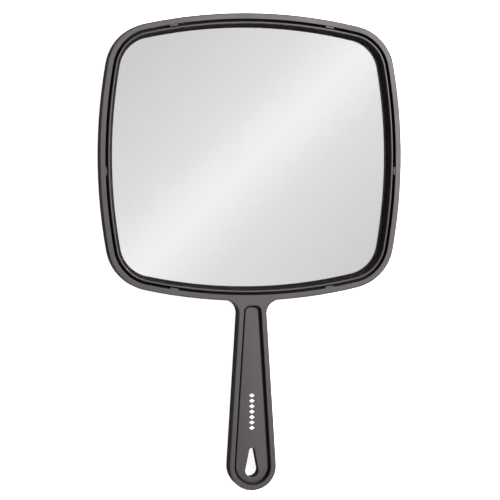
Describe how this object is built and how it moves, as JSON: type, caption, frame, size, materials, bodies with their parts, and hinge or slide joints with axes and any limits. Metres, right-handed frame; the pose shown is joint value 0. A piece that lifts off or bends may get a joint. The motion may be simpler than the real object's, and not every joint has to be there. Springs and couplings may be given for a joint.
{
  "type": "hand mirror",
  "caption": "Hand mirror with a rounded-square glass behind a snap-in ring, a black moulded frame and a tapered handle ending in a hanging hole.",
  "frame": {"origin": "under the middle of the bounding box, on the flat back face that the mirror rests on", "axes": "+Z out of the glass, +Y from the handle towards the top of the head, +X to the right seen from the glass side"},
  "size_m": [0.18, 0.28, 0.0125],
  "materials": {
    "frame_plastic": "satin black moulded plastic",
    "ring_plastic": "semi-gloss black moulded plastic",
    "insert_plastic": "fine-textured black plastic with a small white printed ornament",
    "silvered_glass": "clear polished glass silvered on its back",
    "backing_card": "plain grey board"
  },
  "bodies": {
    "root": {"body": "frame_plastic", "bezel_ring": "ring_plastic", "handle_insert": "insert_plastic", "mirror_glass": "silvered_glass", "backing_pad": "backing_card"}
  },
  "joints": []
}
